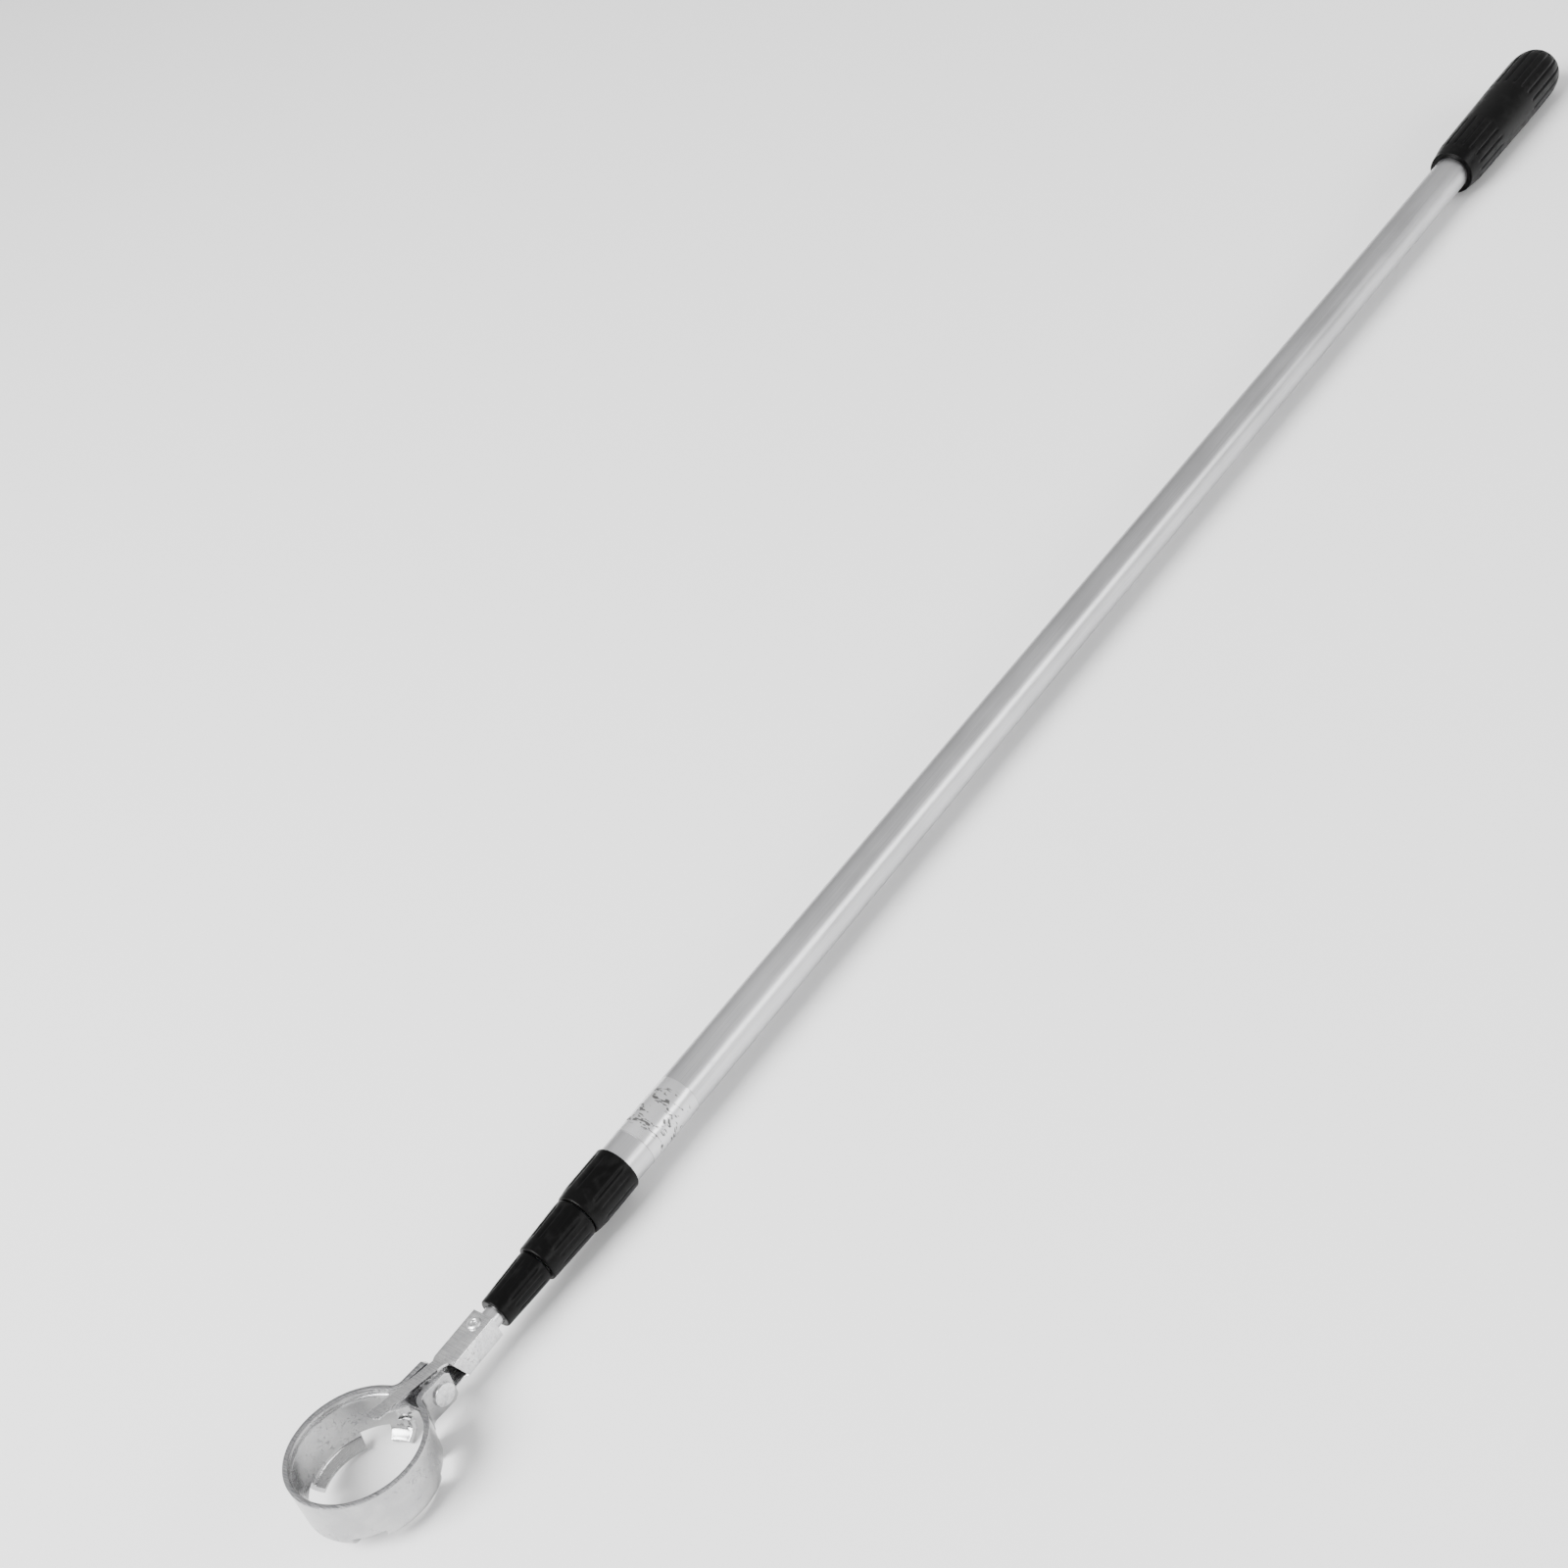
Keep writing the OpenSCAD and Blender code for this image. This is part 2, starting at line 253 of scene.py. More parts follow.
TUBE_BODIES = {1: "outer_pole", 2: "second_tube", 3: "third_tube", 4: "head_tube"}
TUBE_NAMES = {1: "outer_tube", 2: "middle_tube", 3: "inner_tube", 4: "head_rod"}
POLE_LINE = (0, 0, (box_mm("tube_1")[0][2] + box_mm("tube_1")[1][2]) / 2)
outer_finish = satin_aluminium(
    "anodised_outer", light=(0.62, 0.62, 0.63), dark=(0.50, 0.50, 0.51), roughness=0.36)
inner_finish = satin_aluminium(
    "anodised_inner", light=(0.66, 0.66, 0.67), dark=(0.54, 0.54, 0.55), roughness=0.30)
tube_r = {}
tube_top = {}
for n, body in TUBE_BODIES.items():
    low, high = box_mm(f"tube_{n}")
    tube_r[n] = (high[1] - low[1]) / 2
    tube_top[n] = high[0]
    bore = tube_r[n] - TUBE_WALL
    tube = turned(TUBE_NAMES[n], rounded([
        (low[0], bore, CUT_EDGE), (low[0], tube_r[n], CUT_EDGE),
        (high[0], tube_r[n], CUT_EDGE), (high[0], bore, CUT_EDGE),
    ]), line=POLE_LINE)
    fit(tube, f"tube_{n}", body, outer_finish if n == 1 else inner_finish)

# ---------------------------------------------------------------------------------------
# Grip. A hollow cap moulded in black plastic, pushed over the top of the outer tube. Two
# bands of round flutes help the hand to turn it, and its end is domed over.

GRIP_FLUTES = 18
FLUTE_SIDES = 16
FLUTE_DEPTH = 0.6
FLUTE_WIDTH = 2.3
FLUTE_RUN_OUT = 3
LOW_FLUTES = (8, 38)
HIGH_FLUTES_START = 75
GRIP_RADIUS = 14.7
SHOULDER_RADIUS = 13.8
SHOULDER_START = 12
LIP_RADIUS = 12.5
LIP_LEN = 2.2
MOUTH_RADIUS = 12.2
GRIP_END_RADIUS = 9.2
DOME_LEN = 16
DOME_STEPS = 14
END_WALL = 8
CORNER_STEPS = 9
GRIP_STEP = 1.5
grip_low, grip_high = box_mm("grip")
low_flutes = (grip_low[0] + LOW_FLUTES[0], grip_low[0] + LOW_FLUTES[1])
high_flutes = (grip_low[0] + HIGH_FLUTES_START, grip_high[0] - FLUTE_RUN_OUT)


def dense(profile, step):
    """The same profile with extra points, so that no two are further apart than step."""
    length = np.concatenate([[0], np.cumsum(np.linalg.norm(np.diff(profile, axis=0), axis=1))])
    every = np.union1d(length, np.arange(0, length[-1], step))
    return np.stack([np.interp(every, length, profile[:, i]) for i in range(2)], axis=1)


def step_up(value, low, high):
    """0 below low, 1 above high, and the cubic 3t^2 - 2t^3 between them."""
    t = np.clip((value - low) / (high - low), 0, 1)
    return t * t * (3 - 2 * t)


def flute(angle, count, radius, width):
    """Round groove, repeated count times: 1 on its middle line, 0 at half its width."""
    pitch = 2 * math.pi / count
    off = (np.mod(angle + pitch / 2, pitch) - pitch / 2) * radius
    return 0.5 + 0.5 * np.cos(math.pi * np.clip(2 * off / width, -1, 1))


def band(station, ends, run_out):
    """1 between two stations, falling to 0 over run_out at each end."""
    started = step_up(station, ends[0], ends[0] + run_out)
    ended = step_up(station, ends[1] - run_out, ends[1])
    return started - ended


def grip_relief(station, angle):
    """Depth of the grip's two fluted bands."""
    groove = flute(angle, GRIP_FLUTES, GRIP_RADIUS, FLUTE_WIDTH)
    low_band = band(station, low_flutes, FLUTE_RUN_OUT)
    high_band = band(station, high_flutes, FLUTE_RUN_OUT)
    return FLUTE_DEPTH * groove * (low_band + high_band)


def black_plastic(name, roughness):
    """Moulded black polypropylene: a fine spark-eroded grain and paler worn patches."""
    finish = Finish(name, Specular_IOR_Level=0.10)
    grain = finish.noise(0.28, 2)
    wear = finish.noise(5, 4, warp=0.6).rise(0.45, 0.75)
    colour = finish.blend(wear, (0.001, 0.001, 0.001), (0.004, 0.004, 0.004))
    return finish.paint(colour, roughness + wear * 0.14 + (grain - 0.5) * 0.12, grain, 0.02)


x0 = grip_low[0]
x1 = grip_high[0]
quarter = np.linspace(math.pi / 2, 0, DOME_STEPS)
dome = np.stack([
    x1 - DOME_LEN + DOME_LEN * np.sin(quarter),
    GRIP_END_RADIUS + (GRIP_RADIUS - GRIP_END_RADIUS) * np.cos(quarter),
], axis=-1)
sleeve = rounded([
    (x1, 0, 0), (x1 - DOME_LEN, GRIP_RADIUS, 0), (x0 + HIGH_FLUTES_START, GRIP_RADIUS, 6),
    (x0 + SHOULDER_START, SHOULDER_RADIUS, 2.5), (x0 + LIP_LEN, LIP_RADIUS, 0.8),
    (x0, MOUTH_RADIUS, 0.5), (x0, tube_r[1], 0.3),
    (x1 - END_WALL, tube_r[1], 0.3), (x1 - END_WALL, 0, 0),
], CORNER_STEPS)
outline = np.concatenate([sleeve[:1], dome, sleeve[2 * CORNER_STEPS:]])
grip = turned("hand_grip", dense(outline, GRIP_STEP), sides=GRIP_FLUTES * FLUTE_SIDES,
              relief=grip_relief, line=POLE_LINE)
moulded_black = black_plastic("moulded_black", roughness=0.34)
fit(grip, "grip", "outer_pole", moulded_black)

# ---------------------------------------------------------------------------------------
# Tube end plug. A small white cap moulded in polyethylene, pressed into the top of the
# outer tube under the grip, where it stops the locks from being pulled out through it.

CAP_WALL = 2
CAP_HOLLOW_R = 3


def lock_plastic(name, light, dark):
    """Waxy polyethylene, faintly mottled, with dull rubbed patches and a fine grain."""
    finish = Finish(name, Subsurface_Weight=0.15, Subsurface_Scale=0.002)
    cloud = finish.noise(4, 4, warp=0.5)
    grain = finish.noise(0.4, 2)
    colour = finish.blend(cloud.rise(0.35, 0.7), light, dark)
    return finish.paint(colour, 0.38 + cloud * 0.2, grain, 0.015)


low, high = box_mm("tube_end_plug")
bore = tube_r[1] - TUBE_WALL
cap = turned("tube_cap", rounded([
    (high[0], 0, 0), (high[0], tube_r[1], 0.4), (tube_top[1], tube_r[1], 0.1),
    (tube_top[1], bore, 0.1), (low[0], bore, 0.5), (low[0], CAP_HOLLOW_R, 0.4),
    (tube_top[1] - CAP_WALL, CAP_HOLLOW_R, 0.5), (tube_top[1] - CAP_WALL, 0, 0),
]), line=POLE_LINE)
natural_white = lock_plastic(
    "natural_white", light=(0.80, 0.80, 0.77), dark=(0.70, 0.70, 0.66))
fit(cap, "tube_end_plug", "outer_pole", natural_white)

# ---------------------------------------------------------------------------------------
# Label. A silvered film wrapped once round the outer tube and stuck to it. Its print is a
# plain run of soft grey dashes.


def label_film(name, low, high):
    """Silvered film with a glossy coat. Soft dashes run round the tube in a printed band,
    and the film's own two edges are darker."""
    finish = Finish(name, Coat_Weight=0.4, Coat_Roughness=0.15, Metallic=0.8)
    place = finish.node("SeparateXYZ", None, {0: finish.place})
    along = Value(finish, place.outputs[0])
    middle = (low[0] + high[0]) / 2 * MM
    half = (high[0] - low[0]) / 2 * MM
    off = finish.node("Math", {"operation": "ABSOLUTE"}, {0: along - middle})
    off = Value(finish, off.outputs[0])
    field = 1 - off.rise(half * 0.62, half * 0.74)
    dashes = finish.noise(3.6, 2, stretch=(1.5, 0.55, 0.55), warp=0.9).rise(0.52, 0.56)
    strokes = finish.noise(1.5, 1, stretch=(1.6, 0.5, 0.5), warp=0.5).rise(0.42, 0.50)
    ink = dashes * strokes * field
    edge = off.rise(half * 0.965, half * 0.985)
    wrinkle = finish.noise(3, 3, stretch=(0.3, 1, 1))
    silver = (0.66, 0.66, 0.67)
    print_grey = (0.045, 0.045, 0.043)
    edge_grey = (0.30, 0.30, 0.30)
    colour = finish.blend(ink * 0.9, silver, print_grey)
    colour = finish.blend(edge * 0.55, colour, edge_grey)
    return finish.paint(colour, 0.24 + ink * 0.3 + wrinkle * 0.1, wrinkle, 0.05)


low, high = box_mm("label")
label_r = (high[1] - low[1]) / 2
film = turned("film_label", rounded([
    (low[0], tube_r[1], 0), (low[0], label_r, 0.05),
    (high[0], label_r, 0.05), (high[0], tube_r[1], 0),
], steps=3), line=POLE_LINE)
fit(film, "label", "outer_pole", label_film("silver_film", low, high))

# ---------------------------------------------------------------------------------------
# Collars. Three black plastic collars, one pushed on the low end of each outer tube. Each
# one guides the next tube through the hole in its end wall. They nest into one stepped,
# fluted cone when the pole is closed.

COLLAR_FLUTES = 14
COLLAR_FLUTE_SIDES = 14
COLLAR_FLUTE_DEPTH = 0.30
COLLAR_FLUTE_WIDTH = 2.0
COLLAR_FLUTE_END = 2
COLLAR_STEP = 0.8
GUIDE_GAP = 0.1
COLLAR_STOP = 3


def collar(n, body, top_wall, low_wall, taper_share, flute_share):
    """A tapered sleeve whose wall is top_wall thick at its top end. The taper takes up
    taper_share of its length, and the flutes start at flute_share of it."""
    low, high = box_mm(f"collar_{n}")
    top_r = tube_r[n] + top_wall
    low_r = tube_r[n] + low_wall
    taper = low[0] + (high[0] - low[0]) * taper_share
    guide = tube_r[n + 1] + GUIDE_GAP
    ends = (low[0] + (high[0] - low[0]) * flute_share, high[0] - COLLAR_FLUTE_END)

    def relief(station, angle):
        """Depth of the grooves, which fade out at both ends."""
        groove = flute(angle, COLLAR_FLUTES, top_r, COLLAR_FLUTE_WIDTH)
        return COLLAR_FLUTE_DEPTH * groove * band(station, ends, FLUTE_RUN_OUT)

    profile = rounded([
        (low[0], guide, 0.2), (low[0], low_r, 0.8), (taper, top_r, 1.2), (high[0], top_r, 0.9),
        (high[0], tube_r[n], 0.2), (low[0] + COLLAR_STOP, tube_r[n], 0.3),
        (low[0] + COLLAR_STOP, guide, 0.2),
    ], steps=7)
    piece = turned(f"collar_sleeve_{n}", dense(profile, COLLAR_STEP),
                   sides=COLLAR_FLUTES * COLLAR_FLUTE_SIDES, relief=relief, line=POLE_LINE)
    fit(piece, f"collar_{n}", body, moulded_black)


collar(1, "outer_pole", top_wall=0.95, low_wall=0.2, taper_share=0.22, flute_share=0.16)
collar(2, "second_tube", top_wall=1.6, low_wall=0.9, taper_share=0.85, flute_share=0.20)
collar(3, "third_tube", top_wall=1.6, low_wall=0.9, taper_share=0.85, flute_share=0.20)

# ---------------------------------------------------------------------------------------
# Locks. Each inner tube ends in a white plug with a stud, and a split bush turns on the
# stud. A twist of the tube makes the bush wider, and it grips the tube around it.

PLUG_LEN = 12
FLANGE = 1.5
EXPANDER_LEN = 18
BUSH_GAP = 0.3
HEAD_LEN = 1.5
SPLIT = 1.2
STUD_SHARE = 0.5
HEAD_SHARE = 0.8
bush_grey = lock_plastic("bush_grey", light=(0.62, 0.62, 0.60), dark=(0.50, 0.50, 0.48))


def lock_plug(n, body):
    """Plug, flange, stud and head in one piece."""
    x = tube_top[n]
    bore = tube_r[n] - TUBE_WALL
    stud = bore * STUD_SHARE
    head = tube_r[n] * HEAD_SHARE
    stud_end = x + FLANGE + EXPANDER_LEN + 2 * BUSH_GAP
    piece = turned(f"locking_plug_{n}", rounded([
        (x - PLUG_LEN, 0, 0), (x - PLUG_LEN, bore, 0.6), (x, bore, 0.1), (x, tube_r[n], 0.15),
        (x + FLANGE, tube_r[n], 0.25), (x + FLANGE, stud, 0.2), (stud_end, stud, 0.2),
        (stud_end, head, 0.2), (stud_end + HEAD_LEN, head, 0.3), (stud_end + HEAD_LEN, 0, 0),
    ]), line=POLE_LINE)
    fit(piece, f"lock_plug_{n}", body, natural_white)


def lock_expander(n, body):
    """Split bush. Its section is a closed loop carried round most of a turn, from one side
    of the split to the other. Each end is closed by drawing that loop in to its middle."""
    x = tube_top[n] + FLANGE + BUSH_GAP
    inner = (tube_r[n] - TUBE_WALL) * STUD_SHARE + GUIDE_GAP / 2
    outer = tube_r[n - 1] - TUBE_WALL - GUIDE_GAP
    profile = rounded([
        (x, inner, 0.15), (x, outer, 0.6), (x + EXPANDER_LEN, outer, 0.6),
        (x + EXPANDER_LEN, inner, 0.15),
    ])
    half = np.arcsin(SPLIT / 2 / profile[:, 1:])
    share = np.linspace(0, 1, AROUND)[None, :]
    angle = half + (2 * math.pi - 2 * half) * share
    radius = profile[:, 1:]
    station = profile[:, :1] + 0 * angle
    points = np.stack([station, radius * np.sin(angle), radius * np.cos(angle)], axis=-1)
    middle = np.broadcast_to(points.mean(axis=0), points.shape)
    capped = np.concatenate([middle[:, :1], points, middle[:, -1:]], axis=1)
    piece = skin(f"locking_bush_{n}", capped + np.array(POLE_LINE), wrap=(True, False))
    fit(piece, f"lock_expander_{n}", body, bush_grey)


for n in (2, 3, 4):
    lock_plug(n, TUBE_BODIES[n])
    lock_expander(n, f"expander_{n}")

# ---------------------------------------------------------------------------------------
# Arm. Square steel tube, plated bright. One side of it is sawn away past the box end, and
# what is left, a channel open to the side, is bent up as the finger that holds the ball
# in the cup. The thin tube runs into the box and is riveted there.

ARM_WALL = 1.1
ARM_EDGE = 0.18
ARM_CORNER = 0.9
BOX_LEN = 22.8
BOX_HALF = 5.4
FINGER_HALF = 4
FINGER_LEN = 34.5
FINGER_BEND = math.radians(15)
FINGER_MID = 20
TIP_START = 4
SAW_SLANT = 3.4
BACK_MID = 12.7
BACK_NECK = (7.1, 8.3)
BACK_TIP = (2, 3.5)
TIP_SLANT = math.radians(42)
TIP_FLAT = 0.5
BOX_SHARE = 0.4
NARROWED_SHARE = 0.43
MID_SHARE = 0.7
BACK_CUT_SHARE = 0.80
NECK_SHARE = 0.92
NUDGE = 0.001
BOX_STEPS = 13
FINGER_STEPS = 41
CORNER_POINTS = 5
SIDE_STEPS = 6
EDGE_FOLD = math.radians(50)
box_end = box_mm("arm")[1][0]
notch = box_end - BOX_LEN


def plated_steel(name, cut_face=None, chatter=0.0, tone=1.0):
    """Bright zinc plate over drawn steel: light and dull patches, dark smudges and hairline
    scratches. cut_face says where it was sawn and gives the saw's strokes, chatter is the
    strength of the ripples that the bending left, and tone darkens the whole plate."""
    finish = Finish(name, Metallic=1.0)
    patch = finish.noise(9, 3, warp=0.5)
    smudge = finish.noise(2.2, 6, warp=1.8).rise(0.53, 0.68)
    region = finish.noise(14, 2).rise(0.45, 0.62)
    hair = finish.noise(0.25, 2, stretch=(0.05, 1, 0.6), turn=(0.4, 0.3, 0.7)).rise(0.60, 0.68)
    light = (0.78 * tone, 0.78 * tone, 0.78 * tone)
    colour = finish.blend(patch.rise(0.35, 0.65), (0.66 * tone, 0.66 * tone, 0.67 * tone), light)
    colour = finish.blend(smudge * region * 0.6, colour, (0.22, 0.22, 0.23))
    rough = 0.17 + patch * 0.10 + smudge * region * 0.22 + hair * 0.10
    height = patch + smudge * region * -0.12 + hair * -0.03
    if cut_face is not None:
        sawn, tooth = cut_face(finish)
        colour = finish.blend(sawn * (0.45 + tooth * 0.4), colour, (0.20, 0.20, 0.21))
        rough = rough + sawn * 0.18
        height = height * (1 - sawn) + sawn * tooth * 0.6
    if chatter > 0:
        ripple = finish.noise(0.5, 1, stretch=(1.0, 0.05, 0.4)).rise(0.40, 0.62)
        height = height + ripple * chatter
        colour = finish.blend(ripple * chatter, colour, (0.30, 0.30, 0.31))
    return finish.paint(colour, rough, height, 0.10)


def arm_lines(u):
    """Front and back line of the arm in side view at the share u of its length: level
    along the box, bent up along the finger, and drawn together to the finger's tip."""
    tip_x = notch - FINGER_LEN * math.cos(FINGER_BEND)
    tip_z = BOX_HALF + FINGER_LEN * math.sin(FINGER_BEND)
    stops = [0, BOX_SHARE, MID_SHARE, NECK_SHARE, 1]
    front_x = np.array([box_end, notch, notch - FINGER_MID, tip_x + TIP_START, tip_x])
    bent = np.clip(notch - front_x, 0, None) / (notch - tip_x)
    front_z = BOX_HALF + (tip_z - BOX_HALF) * bent
    back_x = [
        box_end, notch + SAW_SLANT, notch - BACK_MID, tip_x + BACK_NECK[0], tip_x + BACK_TIP[0],
    ]
    back_z = [-BOX_HALF, -BOX_HALF, -BOX_HALF, tip_z - BACK_NECK[1], tip_z - BACK_TIP[1]]
    front = np.stack([np.interp(u, stops, front_x), np.interp(u, stops, front_z)], axis=-1)
    back = np.stack([np.interp(u, stops, back_x), np.interp(u, stops, back_z)], axis=-1)
    return front, back


# The section is a rounded rectangle: front face, far side, back face and near side, each
# followed by the corner that leads to the next one.
share = np.concatenate([
    np.linspace(0, BOX_SHARE, BOX_STEPS), np.linspace(BOX_SHARE, 1, FINGER_STEPS)[1:],
])
front, back = arm_lines(share)
deep = np.linalg.norm(back - front, axis=1)[:, None]
narrowed = step_up(share, BOX_SHARE + NUDGE, NARROWED_SHARE)[:, None]
half = BOX_HALF + (FINGER_HALF - BOX_HALF) * narrowed
quarter = np.linspace(0, math.pi / 2, CORNER_POINTS)
rise = np.sin(quarter) * ARM_CORNER
fall = (1 - np.cos(quarter)) * ARM_CORNER
flat = np.linspace(0, 1, SIDE_STEPS)[1:-1]
front_y = np.linspace(-1, 1, SIDE_STEPS)[None, 1:-1] * (half - ARM_CORNER)
far_h = ARM_CORNER + (deep - 2 * ARM_CORNER) * flat
rows = [
    (np.broadcast_to(0 * deep, front_y.shape), front_y),
    (fall + 0 * deep, half - ARM_CORNER + rise),
    (far_h, half + 0 * far_h),
    (deep - ARM_CORNER + rise, half - fall),
    (np.broadcast_to(deep, front_y.shape), -front_y),
    (deep - fall, -half + ARM_CORNER - rise),
    (ARM_CORNER + (deep - 2 * ARM_CORNER) * (1 - flat), -half + 0 * far_h),
    (ARM_CORNER - rise + 0 * deep, -half + fall),
]
down = np.concatenate([r[0] for r in rows], axis=1)
side = np.concatenate([r[1] for r in rows], axis=1)
part = np.concatenate([np.full(r[1].shape[1], i) for i, r in enumerate(rows)])
point = front[:, None] + (back - front)[:, None] * (down / deep)[..., None]
sheared = front[-1, 0] + np.clip(-side - TIP_FLAT, 0, None) * math.tan(TIP_SLANT)
moved = np.clip(sheared - point[..., 0], 0, None)
point = point + np.stack([moved, -moved * math.tan(FINGER_BEND)], axis=-1)
points = np.stack([point[..., 0], side, point[..., 1]], axis=-1) + np.array(POLE_LINE)
BACK_FACE = 4
NEAR_SIDE = 6
near_side = (part == NEAR_SIDE) | (part == NEAR_SIDE + 1) | (np.roll(part, -1) == NEAR_SIDE)
back_side = (part == BACK_FACE) | (part == BACK_FACE + 1) | (np.roll(part, -1) == BACK_FACE)
past_box = share[:-1, None] > BOX_SHARE - NUDGE
past_back = share[:-1, None] > BACK_CUT_SHARE
keep = ~(past_box & near_side[None, :]) & ~(past_back & back_side[None, :])
arm = skin("ball_finger_arm", points, wrap=(False, True), keep=keep, closed=False)


def thicken(piece, thickness, edge, group=""):
    """Gives an open skin its wall, inwards, and breaks the wall's sharp edges. The group's
    weight, where there is one, is the share of the thickness that each point gets."""
    wall = piece.modifiers.new("wall", "SOLIDIFY")
    wall.thickness = thickness * MM
    wall.offset = -1
    wall.use_even_offset = True
    wall.vertex_group = group
    edges = piece.modifiers.new("edges", "BEVEL")
    edges.width = edge * MM
    edges.segments = 2
    edges.limit_method = "ANGLE"
    edges.angle_limit = EDGE_FOLD


thicken(arm, ARM_WALL, ARM_EDGE)
bright_plate = plated_steel("plated_arm", chatter=0.25)
fit(arm, "arm", "head_tube", bright_plate)

# ---------------------------------------------------------------------------------------
# Arm rivet. Hollow steel rivet through the front of the arm and the thin tube, with a
# rolled head that stands proud of the arm.


def rivet_steel(name):
    """Bright rivet steel with a fine grain and small knocks."""
    finish = Finish(name, Metallic=1.0)
    knock = finish.noise(1.2, 4, warp=0.8)
    grain = finish.noise(0.3, 2)
    colour = finish.blend(knock.rise(0.35, 0.65), (0.60, 0.60, 0.61), (0.83, 0.83, 0.83))
    return finish.paint(colour, 0.20 + knock * 0.16 + grain * 0.06, knock + grain * 0.2, 0.05)


TAIL_FLANGE_R = 2.3
TAIL_FLANGE_H = 1.2
TUBE_SHANK_R = 1.75
RIVET_HOLE_R = 1.0
ROLLED_R = 2.9
ROLLED_H = 0.5
CROWN_R = 2.1
CROWN_HOLE_R = 1.5
CROWN_DEPTH = 0.4
bright_rivet = rivet_steel("bright_rivet")
low, high = box_mm("arm_rivet")
rivet_line = ((low[0] + high[0]) / 2, 0, 0)
top = high[2]
face = POLE_LINE[2] + BOX_HALF
hollow = turned("tube_rivet", rounded([
    (low[2], RIVET_HOLE_R, 0.1), (low[2], TAIL_FLANGE_R, 0.3),
    (low[2] + TAIL_FLANGE_H, TAIL_FLANGE_R, 0.1), (low[2] + TAIL_FLANGE_H, TUBE_SHANK_R, 0.1),
    (face, TUBE_SHANK_R, 0.1), (face, ROLLED_R, 0.1), (face + ROLLED_H, ROLLED_R, 0.4),
    (top, CROWN_R, 0.35), (top, CROWN_HOLE_R, 0.3), (face + CROWN_DEPTH, RIVET_HOLE_R, 0.3),
]), line=rivet_line, along="Z")
fit(hollow, "arm_rivet", "head_tube", bright_rivet)

# ---------------------------------------------------------------------------------------
# Cup. One strip of plated steel, bent into a ring whose two ends turn out as flat ears
# each side of the finger. Its back edge is notched into tabs that bend in to hold the
# ball. The front face is sawn flat, and a shallow ledge runs round just inside it.

CUP_R = 27.5
CUP_REACH = 36
CUP_WALL = 2.6
RIM_WALL = 2
LEDGE_DEPTH = 2.5
CUP_EDGE = 0.2
CUP_TILT = math.radians(6)
CUP_CONE = 0.9
RIM_ROWS = (0, 1.2, 2.4, 2.6)
EAR_ROWS_START = 4
EAR_ROWS = 9
BACK_ROWS = 4
LIP_ROWS = 9
RIM_Z = 7.5
BACK_Z = -16.5
BEND_Z = -11.0
EAR_LOW = -7.0
EAR_OUT = 6.4
EAR_END = 5.5
EAR_CUT = 2
EAR_CURVE = 4
GAP_HALF = 4.4
TAB_LIP = 21.2
NOTCH_TOP = -10.3
NOTCH_HALF = 6.5
RELIEF_CUT = 0.5
TAB_BEND = 3.6
TAB_BOW = 0.1
PLATE_COLUMNS = 12
CURL_COLUMNS = 7
RING_COLUMNS = 159
pivot = (box_mm("pivot_rivet")[0] + box_mm("pivot_rivet")[1]) / 2
pivot[1] = 0
lean_c = math.cos(CUP_TILT)
lean_s = math.sin(CUP_TILT)
lean = np.array([[lean_c, 0, lean_s], [0, 1, 0], [-lean_s, 0, lean_c]])


def from_cup(local):
    """Turns points on the cup's own axes by its lean and sets them at the pivot."""
    return local @ lean.T + pivot


# Plan of the outer face, from the near ear's end round the ring to the far ear's end.
hollow_x = math.sqrt((CUP_R + EAR_CURVE) ** 2 - (EAR_OUT + EAR_CURVE) ** 2)
join = math.atan2(EAR_OUT + EAR_CURVE, hollow_x)
gap_turn = math.asin(GAP_HALF / CUP_R)
plate_x = np.linspace(EAR_END, hollow_x - CUP_REACH, PLATE_COLUMNS + 1)[:-1]
curl = np.linspace(0, math.pi / 2 - join, CURL_COLUMNS)
ring = np.linspace(join, 2 * math.pi - join, RING_COLUMNS + 2)[1:-1]
ear_plan = np.stack([plate_x, 0 * plate_x + EAR_OUT], axis=-1)
curve_plan = np.stack([
    hollow_x - CUP_REACH - EAR_CURVE * np.sin(curl), EAR_OUT + EAR_CURVE * (1 - np.cos(curl)),
], axis=-1)
tongue = np.linspace(gap_turn, join, CURL_COLUMNS)
PLATE = 0
CURL = 1
RING = 2
kind = np.repeat(
    [PLATE, CURL, RING, CURL, PLATE],
    [PLATE_COLUMNS, CURL_COLUMNS, RING_COLUMNS, CURL_COLUMNS, PLATE_COLUMNS])

# Stations down the cup, from the front rim to the back of the tabs.
upper = np.concatenate([
    RIM_Z - np.array(RIM_ROWS), np.linspace(RIM_Z - EAR_ROWS_START, EAR_LOW, EAR_ROWS),
])
middle = np.linspace(EAR_LOW - RELIEF_CUT, NOTCH_TOP, BACK_ROWS)
t = np.linspace(0, 1, LIP_ROWS)
lip_r = curve(t, CUP_R - CUP_CONE, CUP_R - CUP_CONE - TAB_BOW, TAB_LIP)
lip_z = curve(t, BEND_Z, BEND_Z - TAB_BEND, BACK_Z)
z_row = np.concatenate([upper, middle, lip_z])
cone_r = CUP_R - CUP_CONE * (RIM_Z - np.concatenate([upper, middle])) / (RIM_Z - BEND_Z)
r_row = np.concatenate([cone_r, lip_r])[:, None]
turn = np.concatenate([
    np.full(PLATE_COLUMNS, gap_turn), tongue, ring, 2 * math.pi - tongue[::-1],
    np.full(PLATE_COLUMNS, 2 * math.pi - gap_turn),
])[None, :]
x = r_row * np.cos(turn) - CUP_REACH
y = -r_row * np.sin(turn)
z = z_row[:, None] + 0 * turn
high_part = z_row >= EAR_LOW
